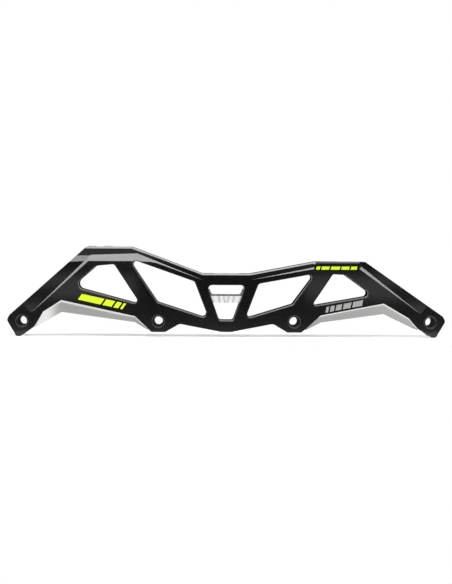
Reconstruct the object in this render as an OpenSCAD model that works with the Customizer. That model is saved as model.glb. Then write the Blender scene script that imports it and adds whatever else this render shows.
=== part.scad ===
// Inline skate frame for four wheels, without wheels or axles.
// Two black side walls stand on either side of the wheel channel. A heel deck, a toe deck
// and a centre bridge are screwed down on ledges between them, and bare metal braces are set
// into the inner faces of the walls. Millimetres, +X to the toe, +Z up, the floor at Z = 0.

/* [Axles] */
// Distance between neighbouring axles
axle_pitch = 111.76; // [106:0.01:118]
// Height of the axle line above the floor
axle_h = 12.5; // [11:0.25:13]
// Largest wheel that runs in the frame
wheel_d = 110; // [100:1:125]
// Free space kept around that wheel
tyre_gap = 2; // [1:0.25:3]
// Axle diameter, which is the bore of the bushes
axle_d = 8; // [6:0.5:8]
// Core diameter of the axle thread in the inserts
thread_core_d = 6.7; // [5:0.1:7]
// Distance between a bush and the insert opposite it, the width of a wheel hub
hub_w = 24.2; // [22:0.1:26]
// Outer diameter of bushes and inserts
bush_d = 10; // [9.5:0.1:11]
// Diameter of a bush's head
bush_head_d = 11.2; // [11:0.1:13]
// Thickness of a bush's head
bush_head_t = 1.5; // [1:0.1:2]
// Depth of the cone that seats the axle's head
bush_cone = 0.9; // [0.4:0.1:1.2]
// Diameter of an insert's flange
insert_flange_d = 12; // [11:0.1:13]

/* [Side walls] */
// Width of the channel between the walls
channel_w = 27; // [26:0.1:29]
// Wall thickness
wall_t = 4.5; // [4:0.1:6]
// How far an end tip reaches past its axle
tip_reach = 12.4; // [10.5:0.1:14]
// Width of the flat foot under an end tip
foot_w = 3.5; // [2:0.5:4]
// Half the flat under a middle axle
boss_half = 5.8; // [5:0.1:7]
// Depth of the wall below a middle axle
boss_drop = 8.75; // [7:0.25:9.5]
// Centre of the heel top
heel_x = -96.5; // [-98:0.5:-95]
// Length of the heel top
heel_len = 37; // [33:0.5:40]
// Height of the heel top
heel_top = 73.8; // [72:0.1:76]
// Centre of the low middle
mid_x = 0; // [-1:0.5:2]
// Length of the low middle
mid_len = 39; // [37:0.5:44]
// Height of the low middle
mid_top = 51.9; // [50:0.1:53]
// Centre of the toe top
toe_x = 93.4; // [92:0.2:95]
// Length of the toe top
toe_len = 41; // [40:0.5:44]
// Height of the toe top
toe_top = 62.1; // [61:0.1:64]
// How far the outer face steps in above the heel's shoulder
shoulder_in = 2.2; // [1:0.1:2.4]
// Lower edge of the shoulder below the heel top
shoulder_low = 11.9; // [11:0.1:13]
// Upper edge of the shoulder below the heel top, at the rear
shoulder_high = 7.5; // [6:0.1:8]
// How much higher that edge lies at the front of the heel top
shoulder_rise = 1.9; // [0:0.1:2.5]
// How far the end rails sink below the outer face
rail_sink = 1.1; // [0.6:0.1:2]
// How far the inner rails, beside the low middle, sink below the outer face
inner_sink = 0.65; // [0.4:0.05:1.2]
// Width of a rail's edge facet for each millimetre of depth
facet_run = 2.2; // [1:0.1:2.5]
// Bevel along the top edge at the decks
top_bevel = 1.6; // [0.8:0.1:2]
// Bevel along the top edge of the low middle
mid_bevel = 1.2; // [0.6:0.1:1.6]
// Bevel around the windows
window_bevel = 0.8; // [0.4:0.1:1.2]

/* [Decks] */
// Thickness of the heel and toe decks
deck_t = 6; // [5:0.25:7]
// Thickness of the centre bridge
bridge_t = 5; // [4:0.25:5.5]
// Width of the ledges that carry the decks
ledge_w = 5.5; // [5:0.1:6]
// Height of the ledges under the decks
ledge_h = 4.5; // [4:0.1:5]
// Height of the ledges under the bridge
bridge_ledge_h = 4; // [3:0.1:4.2]
// Side clearance of a deck between the walls
deck_fit = 0.05; // [0.02:0.01:0.2]
// Set-back of a deck's ends from the ends of the wall's top
deck_inset = 1; // [0.5:0.1:2]
// Distance between the heel slot and the toe slot
mount_pitch = 195; // [193:0.5:197]
// Place of the toe slot along the frame
toe_slot_x = 103; // [102:0.5:104]
// Width of a mounting slot
slot_w = 6.5; // [5.5:0.1:7]
// Length of a mounting slot across the frame
slot_len = 12; // [9:0.5:13]
// Height of the raised lands on the heel deck
land_h = 0.35; // [0.2:0.05:0.6]
// Width of the raised lands
land_w = 6; // [4:0.5:8]

/* [Braces] */
// Height of a brace's tongue behind the wall
tongue_h = 5; // [4.5:0.1:6]
// Thickness of a brace's tongue and of the crossbars
tongue_t = 2; // [1.5:0.1:2.4]
// Set-back of a brace's lip from the outer face, at its upper edge
lip_upper_in = 0.8; // [0.4:0.1:1.6]
// Set-back of a brace's lip from the outer face, at its lower edge
lip_lower_in = 3; // [2:0.1:3.5]
// Height of the crossbar's lower edge above the axle line
crossbar_low = 15.6; // [14:0.1:17]
// Height of the crossbar
crossbar_h = 6.4; // [5:0.1:8]
// Height of the upright land along the crossbar's upper edge
crossbar_land = 0.9; // [0.5:0.1:1.5]
// How far the crossbar's face leans in below that land
crossbar_lean = 1.2; // [0.6:0.1:1.4]
// Length of the crossbar
crossbar_len = 40; // [38:0.5:42]
// Radius of the flutes on the crossbar
flute_r = 1.2; // [0.8:0.1:2]
// Depth of the flutes
flute_depth = 0.3; // [0.1:0.05:0.5]

/* [Fasteners] */
// Diameter of the deck screws
deck_screw_d = 3; // [3:0.5:4]
// Head diameter of the deck screws
deck_head_d = 6; // [6:0.1:8]
// Head height of the deck screws
deck_head_h = 1.7; // [1.6:0.1:2.6]
// How far the deck screws stop short of the ledge's underside
screw_short = 0.8; // [0.3:0.1:1.5]
// Distance of the deck screws from the wall
deck_screw_in = 3.2; // [2.6:0.1:3.2]
// Diameter of the dowels between deck and ledge
dowel_d = 2.5; // [2:0.5:3]
// Length of the dowels
dowel_len = 7; // [5:0.5:8]
// Diameter of the brace screws
brace_screw_d = 2.5; // [2:0.1:3]
// Head diameter of the brace screws
brace_head_d = 4.4; // [3.8:0.1:4.8]
// Head height of the brace screws
brace_head_h = 1.1; // [0.8:0.1:1.3]
// How deep the brace screws go into the wall
brace_bite = 1.6; // [1:0.1:2]
// Clearance around a screw or dowel
screw_gap = 0.05; // [0.02:0.01:0.15]
// Hexagon socket across the corners, as a share of the head
socket_share = 0.5; // [0.4:0.05:0.6]

/* [Hidden] */
$fn = 64;
arc_steps = 6;
cut = 1;
BLACK = "#1b1b1d";
SILVER = "#c4c6c8";
STEEL = "#77797c";

// Side faces, as distances from the middle plane
inner_y = channel_w / 2;
outer_y = inner_y + wall_t;
hub_y = hub_w / 2;

// The lengths above are for the rated wheel. A larger one sets the axles apart by what it is larger,
// lifts the three tops by half of that and moves the toe forward with the third axle.
rated_wheel_d = 110;
wheel_growth = wheel_d - rated_wheel_d;
lift = wheel_growth / 2;
pitch = axle_pitch + wheel_growth;

// Anchor points that the outline and the windows hang from
A1 = [-1.5 * pitch, axle_h];
A2 = [-0.5 * pitch, axle_h];
A3 = [0.5 * pitch, axle_h];
A4 = [1.5 * pitch, axle_h];
AXLES = [A1, A2, A3, A4];
C = (A2 + A3) / 2;
H0 = [heel_x - heel_len / 2, heel_top + lift];
H1 = [heel_x + heel_len / 2, heel_top + lift];
M0 = [mid_x - mid_len / 2, mid_top + lift];
M1 = [mid_x + mid_len / 2, mid_top + lift];
T0 = [toe_x + lift - toe_len / 2, toe_top + lift];
T1 = [toe_x + lift + toe_len / 2, toe_top + lift];

// A point beside an anchor, with the radius of its corner
function at(anchor, dx, dz, r = 0) = [anchor.x + dx, anchor.y + dz, r];

// Lower edge of the black wall over the braces, end to end
REAR_EDGE = [
    at(A1, 10.5, -3.9), at(A1, 17.4, 7.7), at(A1, 32.2, 17.2), at(A2, -19.2, 4.2), at(A2, -8.3, -6)
];
FRONT_EDGE = [
    at(A3, 8.6, -6.2), at(A3, 21.6, 5.4), at(A4, -38.4, 15.4), at(A4, -18.1, 3.6), at(A4, -10.4, -5.1)
];
// Lower edge of the braces, point for point under that edge
REAR_LIP = [
    at(A1, 10.5, -5.1), at(A1, 17.4, -1.2), at(A1, 32.2, 7.4), at(A2, -19.2, -0.7), at(A2, -8.3, -7.2)
];
FRONT_LIP = [
    at(A3, 8.6, -7.2), at(A3, 22, -0.4), at(A4, -37.8, 6.8), at(A4, -18.1, -2.8), at(A4, -10.4, -6.3)
];

// Outline of a wall, clockwise as seen from the right, with sharp corners where a brace follows it
tip_lean = 2;
foot_in = 1.1;
foot_outer_r = 0.7 * foot_w;
foot_inner_r = 1.1 * foot_w;
boss_low = -boss_drop;
foot_low = -axle_h;
function reversed(p) = [for (i = [len(p) - 1 : -1 : 0]) p[i]];
OUTLINE = concat(
    [at(A1, -tip_reach, 0.8, 3), at(A1, tip_lean - tip_reach, 4.8, 4), at(H0, 0, 0, 1.5), at(H1, 0, 0, 3)],
    [at(M0, 0, 0, 6), at(M1, 0, 0, 6), at(T0, 0, 0, 3), at(T1, 0, 0, 1.5)],
    [at(A4, tip_reach - tip_lean, 4.8, 4), at(A4, tip_reach, 0.8, 3)],
    [at(A4, foot_in + foot_w, foot_low, foot_outer_r), at(A4, foot_in, foot_low, foot_inner_r)],
    [at(A4, -7.4, -6.3, 2)],
    reversed(FRONT_EDGE),
    [at(A3, boss_half, boss_low, 2.5), at(A3, -boss_half, boss_low, 3), at(A3, -17.5, -1.7, 5)],
    [at(C, 4, -8.5, 4), at(C, -4, -8.5, 4)],
    [at(A2, 17.5, -1.9, 5), at(A2, boss_half, boss_low, 3), at(A2, -boss_half, boss_low, 2.5)],
    reversed(REAR_EDGE),
    [at(A1, 7.4, -6.3, 2)],
    [at(A1, -foot_in, foot_low, foot_inner_r), at(A1, -foot_in - foot_w, foot_low, foot_outer_r)]
);

// Windows from the heel to the toe
WINDOWS = [
    [at(H0, 7.9, -15.9, 2), at(H1, -14.3, -14.5, 2.6), at(A2, -14.4, 13.5, 2.4), at(A1, 41.3, 28.5, 4.5)],
    [at(H1, -3.3, -9.2, 2.8), at(M0, -6.8, -6.5, 3), at(C, -14.3, 2, 3.1), at(A2, -0.8, 15.8, 4)],
    [at(M0, 3.4, -9.4, 3.1), at(M1, -3.7, -9.4, 2.8), at(C, 5.6, 1, 2.3), at(C, -5.8, 1, 2.3)],
    [at(M1, 7, -8.2, 3), at(T0, 0.5, -9.8, 2.5), at(A3, -1.3, 14.3, 4), at(C, 15.4, 2.2, 2.6)],
    [at(T0, 14.6, -10.3, 2), at(T1, -16.4, -10.8, 2), at(A4, -46.6, 21.9, 3.1), at(A3, 13.9, 12.9, 1.85)]
];

// Crease lines, where the rails sink below the outer face, each with its depth at both ends.
// The toe pad between the two front ones stays flush.
pad_rear = 0.8;
pad_front = 4.8;
CREASES = [
    [at(A1, 7.5, 6.6), at(H0, 5.3, -8.6), 0, rail_sink],
    [at(M1, 1.2, -4.9), at(T0, -pad_rear, -6), 0, inner_sink],
    [at(T1, -pad_front, -5.8), at(A4, -7.8, 6.8), rail_sink, 0]
];
// How far each cut runs on past the ends of its crease, and how far it reaches up from it
CREASE_RUN_ON = [[0, 25], [0, 0], [0, 0]];
CREASE_REACH = [32, 16, 32];
// Where the shoulder's upper slope starts behind the heel top, and where the shoulder ends in front of it
shoulder_start = H0.x - 14;
shoulder_end = H1.x + 4.7;
// Lower edge of the fold that carries the shoulder on: where it has narrowed, and where it runs out
FOLD = at(H1, 21, -13.5);
FOLD_END = at(M0, 0.2, -5.3);

// Points of a plan view that the corner at b, between a and c, is rounded with
function unit(v) = v / norm(v);
function flat(p) = [p.x, p.y];
function corner(a, b, c, r) = let(
    u = unit(flat(a) - flat(b)),
    v = unit(flat(c) - flat(b)),
    half = acos(u * v) / 2,
    centre = flat(b) + unit(u + v) * r / sin(half),
    start = flat(b) + u * r / tan(half) - centre,
    turn = sign(cross(start, flat(b) + v * r / tan(half) - centre)) * (180 - 2 * half)
) [for (i = [0 : arc_steps]) let(w = turn * i / arc_steps)
    centre + [start.x * cos(w) - start.y * sin(w), start.x * sin(w) + start.y * cos(w)]];
function around(p, i) = p[(i + len(p)) % len(p)];
function rounded(p) = [for (i = [0 : len(p) - 1]) each p[i][2] == 0
    ? [flat(p[i])]
    : corner(around(p, i - 1), p[i], around(p, i + 1), p[i][2])];

// The same convex outline, grown by d on all sides
function grown(p, d) = [for (i = [0 : len(p) - 1]) let(
    u = unit(flat(around(p, i - 1)) - flat(p[i])),
    v = unit(flat(around(p, i + 1)) - flat(p[i])),
    b = flat(p[i]) - unit(u + v) * d / sin(acos(u * v) / 2)
) [b.x, b.y, p[i][2] + d]];

// How far from an axle, along the frame, the largest wheel reaches at the height z
function tyre_reach(z) = sqrt(max(0, pow(wheel_d / 2 + tyre_gap, 2) - pow(z - axle_h, 2)));

// Undersides of the decks and of their ledges, and the ends that clear the wheels
heel_seat = H0.y - deck_t;
toe_seat = T0.y - deck_t;
mid_seat = M0.y - bridge_t;
function ends_ahead(a, z, top) = max(a.x + tyre_reach(z), top.x + deck_inset);
function ends_behind(a, z, top) = min(a.x - tyre_reach(z), top.x - deck_inset);
heel_ends = [H0.x + deck_inset, ends_behind(A2, heel_seat, H1)];
toe_ends = [ends_ahead(A3, toe_seat, T0), T1.x - deck_inset];
bridge_ends = [ends_ahead(A2, mid_seat, M0), ends_behind(A3, mid_seat, M1)];
heel_ledge = [H0.x + deck_inset, ends_behind(A2, heel_seat - ledge_h, H1)];
toe_ledge = [ends_ahead(A3, toe_seat - ledge_h, T0), T1.x - deck_inset];
mid_ledge_low = mid_seat - bridge_ledge_h;
bridge_ledge = [ends_ahead(A2, mid_ledge_low, M0), ends_behind(A3, mid_ledge_low, M1)];

// Screw and dowel places on the decks, as points in plan
screw_y = inner_y - deck_screw_in;
screw_end = 3.4;
function middle(ends) = (ends[0] + ends[1]) / 2;
function pair_across(x) = [[x, -screw_y], [x, screw_y]];
function corners_of(ends) =
    concat(pair_across(ends[0] + screw_end), pair_across(ends[1] - screw_end));
HEEL_SCREWS = corners_of(heel_ledge);
TOE_SCREWS = corners_of(toe_ledge);
BRIDGE_SCREWS = pair_across(middle(bridge_ledge));
heel_dowel_back = 3;
HEEL_DOWELS = pair_across(middle(heel_ledge) - heel_dowel_back);
TOE_DOWELS = pair_across(middle(toe_ledge));
bridge_screw_back = middle(bridge_ledge) - deck_screw_d / 2;
BRIDGE_DOWELS = pair_across((bridge_ledge[0] + bridge_screw_back) / 2);

// Screw places on a brace, a share of the way along its longest run, halfway up the tongue
brace_shares = [0.25, 0.75];
function long_run(edge) = edge == REAR_EDGE
    ? [flat(edge[2]), flat(edge[3])]
    : [flat(edge[1]), flat(edge[2])];
function tongue_points(edge) = [for (t = brace_shares) let(run = long_run(edge))
    run[0] + (run[1] - run[0]) * t + [0, tongue_h / 2]];

// Screw places and flutes on a crossbar
crossbar_screw_in = 2.6;
crossbar_screw_x = crossbar_len / 2 - crossbar_screw_in;
crossbar_mid = axle_h + crossbar_low + crossbar_h / 2;
CROSSBAR_POINTS = [for (side = [-1, 1]) [side * crossbar_screw_x, crossbar_mid]];
FLUTES = [1.2, 5.7];
flute_lean = 0.9;
horn_in = 7.9;
crossbar_throat = crossbar_len / 2 - horn_in;
slope_past = 0.4;

// Mounting slot and raised lands on the heel deck
toe_bolt_x = toe_slot_x + lift;
heel_bolt_x = toe_bolt_x - mount_pitch;
land_back = 1.4;
land_pitch = 13.1;
LANDS = [H0.x + land_back, H0.x + land_back + land_pitch];

// Depth of a screw's hexagon socket, as a share of its head
socket_deep = 0.6;

// The mirror image on the left side
module left() {
    mirror([0, 1, 0]) children();
}

// A flat piece on the right side, from the distance y off the middle plane outwards
module plate(y, t) {
    translate([0, -y, 0]) rotate([90, 0, 0]) linear_extrude(t) children();
}

// A hole or pin across the frame, on the right side, from the distance y outwards
module across(p, y, len, d) {
    translate([p.x, -y, p.y]) rotate([90, 0, 0]) cylinder(h = len, d = d);
}

// A cone across the frame on the right side, d0 wide at the distance y and d1 wide at its outer end
module cone_across(p, y, len, d0, d1) {
    translate([p.x, -y, p.y]) rotate([90, 0, 0]) cylinder(h = len, d1 = d0, d2 = d1);
}

// A solid skinned between rings of points, all of one count, clockwise as seen from outside the first
module skin(rings) {
    n = len(rings[0]);
    last = len(rings) - 1;
    polyhedron(
        points = [for (ring = rings) each ring],
        faces = concat(
            [[for (i = [0 : n - 1]) i]],
            [[for (i = [n - 1 : -1 : 0]) last * n + i]],
            [for (k = [0 : last - 1], i = [0 : n - 1]) let(j = (i + 1) % n)
                each [
                    [k * n + i, (k + 1) * n + i, k * n + j],
                    [k * n + j, (k + 1) * n + i, (k + 1) * n + j]
                ]]
        )
    );
}

// One window through the wall, with its bevelled rim
module window_cut(w) {
    rim = grown(w, window_bevel + cut);
    skin([
        [for (p = rounded(rim)) [p.x, -outer_y - cut, p.y]],
        [for (p = rounded(w)) [p.x, window_bevel - outer_y, p.y]],
        [for (p = rounded(w)) [p.x, cut - inner_y, p.y]]
    ]);
}

// Direction of a crease, and the direction up from it in the plane of the wall
function along(crease) = unit(flat(crease[1]) - flat(crease[0]));
function up_from(crease) = [-along(crease).y, along(crease).x];
// Ends of a rail cut, past the ends of its crease, each as a point and a depth
function rail_ends(crease, run_on) = let(
    slope = (crease[3] - crease[2]) / norm(flat(crease[1]) - flat(crease[0]))
) [
    [flat(crease[0]) - along(crease) * run_on[0], crease[2] - slope * run_on[0]],
    [flat(crease[1]) + along(crease) * run_on[1], crease[3] + slope * run_on[1]]
];
// Foot of a crease's facet at one of those ends
function facet_foot(crease, end) = end[0] + up_from(crease) * facet_run * end[1];

// The rail cut beyond one crease, bounded by its facet and by a sloping floor
module rail_cut(crease, run_on, reach) {
    up = up_from(crease);
    skin([for (e = rail_ends(crease, run_on)) let(
        top = e[0] - up * facet_run * cut,
        foot = facet_foot(crease, e),
        far = e[0] + up * reach
    ) [
        [top.x, -outer_y - cut, top.y],
        [foot.x, e[1] - outer_y, foot.y],
        [far.x, e[1] - outer_y, far.y],
        [far.x, -outer_y - cut, far.y]
    ]]);
}

// What lies outside a slope that runs along the frame up to the point q of its section, and above q.
// The section is given as distances off the middle plane and heights, and lean is the slope's rise.
module beyond_slope(x0, x1, q, lean) {
    out = -outer_y - cut;
    translate([x0, 0, 0]) rotate([90, 0, 90]) linear_extrude(x1 - x0) polygon([
        [out, q.y - lean * (q.x - out)], q, [q.x, H0.y + cut], [out, H0.y + cut]
    ]);
}

// The cuts that lean the outer face in at the heel: a slope from end to end, one above it whose edge
// rises to the front, one on the rail behind the crease, which is already sunk, and the fold in front
module shoulder_cut() {
    crease = CREASES[0];
    in_y = shoulder_in - outer_y;
    out_y = -outer_y - cut;
    low = H0.y - shoulder_low;
    rear_high = H0.y - shoulder_high;
    front_high = rear_high + shoulder_rise;
    beyond_slope(A1.x, shoulder_end, [in_y, front_high], (front_high - low) / shoulder_in);
    lean = (rear_high - low) / shoulder_in;
    skin([for (s = [[shoulder_start, rear_high], [shoulder_end, front_high]]) [
        [s[0], in_y, H0.y + cut], [s[0], out_y, H0.y + cut],
        [s[0], out_y, s[1] - lean * (in_y - out_y)], [s[0], in_y, s[1]]
    ]]);
    sunk = rail_sink * (low - crease[0].y) / (crease[1].y - crease[0].y);
    feet = [for (e = rail_ends(crease, CREASE_RUN_ON[0])) facet_foot(crease, e)];
    far = up_from(crease) * CREASE_REACH[0];
    intersection() {
        plate(inner_y - cut, wall_t + 2 * cut) polygon([feet[0], feet[1], feet[1] + far, feet[0] + far]);
        beyond_slope(A1.x, shoulder_end, [in_y, rear_high], (rear_high - low) / (shoulder_in - sunk));
    }
    folds = [
        [shoulder_end, low, (front_high - low) / shoulder_in, shoulder_in],
        [FOLD.x, FOLD.y, facet_run, inner_sink], [FOLD_END.x, FOLD_END.y, facet_run, 0]
    ];
    skin([for (s = folds) [
        [s[0], s[3] - outer_y, H0.y + cut], [s[0], out_y, H0.y + cut],
        [s[0], out_y, s[1] - s[2] * cut], [s[0], s[3] - outer_y, s[1] + s[2] * s[3]]
    ]]);
}

// Height of the top edge at a place between the heel top and the low middle
function rail_top(x) = H1.y + (M0.y - H1.y) * (x - H1.x) / (M0.x - H1.x);

// The bevel along the top edge, from the heel over the low middle to the toe
module top_bevel_cut() {
    heel_face = outer_y - shoulder_in;
    rail_face = outer_y - inner_sink;
    stations = [
        [H0.x - cut, H0.y, heel_face, top_bevel], [H1.x, H1.y, heel_face, top_bevel],
        [shoulder_end, rail_top(shoulder_end), heel_face, top_bevel],
        [FOLD.x, rail_top(FOLD.x), rail_face, mid_bevel],
        [M0.x, M0.y, outer_y, mid_bevel], [M1.x, M1.y, outer_y, mid_bevel],
        [T0.x, T0.y, rail_face, mid_bevel], [T0.x + pad_rear, T0.y, outer_y, mid_bevel],
        [T1.x - pad_front, T1.y, outer_y, mid_bevel]
    ];
    skin([for (s = stations) [
        [s[0], s[3] + cut - s[2], s[1] + cut],
        [s[0], -s[2] - cut - wall_t, s[1] + cut],
        [s[0], -s[2] - cut - wall_t, s[1] - s[3] - cut],
        [s[0], -s[2] - cut, s[1] - s[3] - cut]
    ]]);
}

// Plan of a brace's tongue, between the wall's lower edge and a line above it
module tongue_outline(edge) {
    run = [for (i = [1 : 3]) flat(edge[i])];
    polygon(concat(run, [for (i = [2 : -1 : 0]) run[i] + [0, tongue_h]]));
}

// Plan of the crossbar, with its upper edge curved up into the sides of the window
module crossbar_outline() {
    low = axle_h + crossbar_low;
    high = low + crossbar_h;
    half = crossbar_len / 2;
    horn = 4.5;
    horn_foot = crossbar_throat + 1.5;
    right = [
        [crossbar_throat, high, 2.4], [horn_foot, high + horn, 0.4],
        [half, high + horn, 0.8], [half, low, 0.8]
    ];
    left = [for (p = reversed(right)) [-p.x, p.y, p[2]]];
    polygon(rounded(concat(left, right)));
}

// A ledge on the inner face of the wall
module ledge(ends, seat, h) {
    translate([ends[0], -inner_y - cut, seat - h]) cube([ends[1] - ends[0], ledge_w + cut, h]);
}

// A vertical hole at each place in plan, down from the height top
module holes_down(places, top, depth, d) {
    for (p = places) translate([p.x, p.y, top - depth]) cylinder(h = depth + cut, d = d);
}

// Holes in a ledge for the screws and dowels of the deck on it
module ledge_holes(screws, dowels, seat, h) {
    holes_down(screws, seat, h + cut, deck_screw_d + 2 * screw_gap);
    holes_down(dowels, seat, dowel_len / 2, dowel_d + 2 * screw_gap);
}

// One side wall, drawn on the right. Its axle holes take headed bushes, or plain inserts.
module wall(headed) {
    screw_hole = brace_screw_d + 2 * screw_gap;
    difference() {
        union() {
            plate(inner_y, wall_t) polygon(rounded(OUTLINE));
            ledge(heel_ledge, heel_seat, ledge_h);
            ledge(toe_ledge, toe_seat, ledge_h);
            ledge(bridge_ledge, mid_seat, bridge_ledge_h);
        }
        for (w = WINDOWS) window_cut(w);
        for (i = [0 : len(CREASES) - 1]) rail_cut(CREASES[i], CREASE_RUN_ON[i], CREASE_REACH[i]);
        shoulder_cut();
        top_bevel_cut();
        for (a = AXLES) {
            across(a, inner_y - cut, wall_t + 2 * cut, bush_d);
            if (headed) across(a, outer_y - bush_head_t, bush_head_t + cut, bush_head_d);
        }
        for (edge = [REAR_EDGE, FRONT_EDGE]) {
            plate(inner_y - cut, tongue_t + cut) tongue_outline(edge);
            for (p = tongue_points(edge)) across(p, inner_y, tongue_t + brace_bite, screw_hole);
        }
        plate(inner_y - cut, tongue_t + cut) crossbar_outline();
        for (p = CROSSBAR_POINTS) across(p, inner_y, tongue_t + brace_bite, screw_hole);
        ledge_holes(HEEL_SCREWS, HEEL_DOWELS, heel_seat, ledge_h);
        ledge_holes(TOE_SCREWS, TOE_DOWELS, toe_seat, ledge_h);
        ledge_holes(BRIDGE_SCREWS, BRIDGE_DOWELS, mid_seat, bridge_ledge_h);
    }
}

module right_wall() { color(BLACK) wall(true); }
module left_wall() { color(BLACK) left() wall(false); }

// A countersunk screw that stands upright, with its head at the height top
module upright_screw(p, top, len, gap = 0) {
    d = deck_screw_d + 2 * gap;
    translate([p.x, p.y, top - len]) cylinder(h = len, d = d);
    translate([p.x, p.y, top - deck_head_h])
        cylinder(h = deck_head_h, d1 = d, d2 = deck_head_d + 2 * gap);
}

// A deck between the walls, with its countersunk holes and blind dowel holes
module deck_block(ends, seat, t, screws, dowels) {
    half = inner_y - deck_fit;
    difference() {
        union() {
            translate([ends[0], -half, seat]) cube([ends[1] - ends[0], 2 * half, t]);
            children();
        }
        for (p = screws) {
            upright_screw(p, seat + t, t + cut, screw_gap);
            translate([p.x, p.y, seat + t]) cylinder(h = cut, d = deck_head_d + 2 * screw_gap);
        }
        for (p = dowels) translate([p.x, p.y, seat - cut])
            cylinder(h = cut + dowel_len / 2, d = dowel_d + 2 * screw_gap);
    }
}

// A slot across the frame for one mounting bolt
module mount_slot(x, seat, t) {
    half = (slot_len - slot_w) / 2;
    translate([x, 0, seat - cut]) {
        translate([-slot_w / 2, -half, 0]) cube([slot_w, 2 * half, t + 2 * cut]);
        for (side = [-half, half]) translate([0, side, 0]) cylinder(h = t + 2 * cut, d = slot_w);
    }
}

module heel_deck() {
    land_y = inner_y - deck_fit - deck_screw_in;
    color(SILVER) difference() {
        deck_block(heel_ends, heel_seat, deck_t, HEEL_SCREWS, HEEL_DOWELS)
            for (x = LANDS) translate([x, -land_y, H0.y - cut])
                cube([land_w, 2 * land_y, cut + land_h]);
        mount_slot(heel_bolt_x, heel_seat, deck_t);
    }
}

module toe_deck() {
    color(SILVER) difference() {
        deck_block(toe_ends, toe_seat, deck_t, TOE_SCREWS, TOE_DOWELS);
        mount_slot(toe_bolt_x, toe_seat, deck_t);
    }
}

module centre_bridge() {
    color(SILVER) deck_block(bridge_ends, mid_seat, bridge_t, BRIDGE_SCREWS, BRIDGE_DOWELS);
}

// A countersunk screw from inside the channel into the wall on the right
module side_screw(p, len, gap = 0) {
    d = brace_screw_d + 2 * gap;
    across(p, inner_y, len, d);
    cone_across(p, inner_y, brace_head_h, brace_head_d + 2 * gap, d);
}

// One brace, drawn on the right: a tongue in the wall and a bevelled lip under the wall's edge
module brace(edge, lip) {
    top_y = outer_y - lip_upper_in;
    low_y = outer_y - lip_lower_in;
    difference() {
        union() {
            plate(inner_y, tongue_t) tongue_outline(edge);
            skin([for (i = [0 : len(edge) - 1]) [
                [edge[i].x, -inner_y, edge[i].y], [edge[i].x, -top_y, edge[i].y],
                [lip[i].x, -low_y, lip[i].y], [lip[i].x, -inner_y, lip[i].y]
            ]]);
        }
        for (p = tongue_points(edge)) side_screw(p, tongue_t + cut, screw_gap);
    }
}

module right_rear_brace() { color(SILVER) brace(REAR_EDGE, REAR_LIP); }
module right_front_brace() { color(SILVER) brace(FRONT_EDGE, FRONT_LIP); }
module left_rear_brace() { color(SILVER) left() brace(REAR_EDGE, REAR_LIP); }
module left_front_brace() { color(SILVER) left() brace(FRONT_EDGE, FRONT_LIP); }

// The crossbar of one centre window, drawn on the right. Between its seats the face leans in below the
// land, with flutes that draw together downwards.
module crossbar() {
    low = axle_h + crossbar_low;
    face = inner_y + tongue_t;
    slope_h = crossbar_h - crossbar_land;
    half = crossbar_throat + slope_past;
    fall = slope_h / crossbar_lean;
    difference() {
        plate(inner_y, tongue_t) crossbar_outline();
        translate([-half, 0, 0]) rotate([90, 0, 90]) linear_extrude(2 * half) polygon([
            [-face - cut, low + slope_h + fall * cut], [-face - cut, low - cut],
            [crossbar_lean + cut / fall - face, low - cut]
        ]);
        for (x = FLUTES, side = [-1, 1]) {
            tilt = atan2(crossbar_lean, slope_h);
            lean = atan2(side * flute_lean, slope_h);
            translate([side * x, crossbar_lean + flute_depth - flute_r - face, low]) rotate([tilt, lean, 0])
                translate([0, 0, -cut]) cylinder(h = slope_h + cut, r = flute_r);
        }
        for (p = CROSSBAR_POINTS) side_screw(p, tongue_t + cut, screw_gap);
    }
}

module right_crossbar() { color(SILVER) crossbar(); }
module left_crossbar() { color(SILVER) left() crossbar(); }

// A plain bush in the right wall, with a head outside and a cone that seats the axle's head
module axle_bush(a) {
    len = outer_y - hub_y;
    color(STEEL) difference() {
        union() {
            across(a, hub_y, len, bush_d);
            across(a, outer_y - bush_head_t, bush_head_t, bush_head_d);
        }
        across(a, hub_y - cut, len + 2 * cut, axle_d);
        cone_across(a, outer_y - bush_cone, bush_cone + cut, axle_d, axle_d + 2 * (bush_cone + cut));
    }
}

// A threaded insert in the left wall, with a flange against the wall's inner face
module axle_insert(a) {
    len = outer_y - hub_y;
    color(STEEL) left() difference() {
        union() {
            across(a, hub_y, len, bush_d);
            across(a, hub_y, inner_y - hub_y, insert_flange_d);
        }
        across(a, hub_y - cut, len + 2 * cut, thread_core_d);
    }
}

// Screws of one deck, each with a hexagon socket
module deck_screws(places, top, len) {
    depth = socket_deep * deck_head_h;
    color(STEEL) for (p = places) difference() {
        upright_screw(p, top, len);
        translate([p.x, p.y, top - depth])
            cylinder(h = depth + cut, d = deck_head_d * socket_share, $fn = 6);
    }
}

// Dowels of one deck, half in the ledge and half in the deck
module dowels(places, seat) {
    color(STEEL) for (p = places) translate([p.x, p.y, seat - dowel_len / 2])
        cylinder(h = dowel_len, d = dowel_d);
}

// Screws of one brace or crossbar, each with a hexagon socket
module side_screws(places) {
    depth = socket_deep * brace_head_h;
    color(STEEL) for (p = places) difference() {
        side_screw(p, tongue_t + brace_bite);
        translate([p.x, -inner_y - depth, p.y]) rotate([-90, 0, 0])
            cylinder(h = depth + cut, d = brace_head_d * socket_share, $fn = 6);
    }
}

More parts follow.
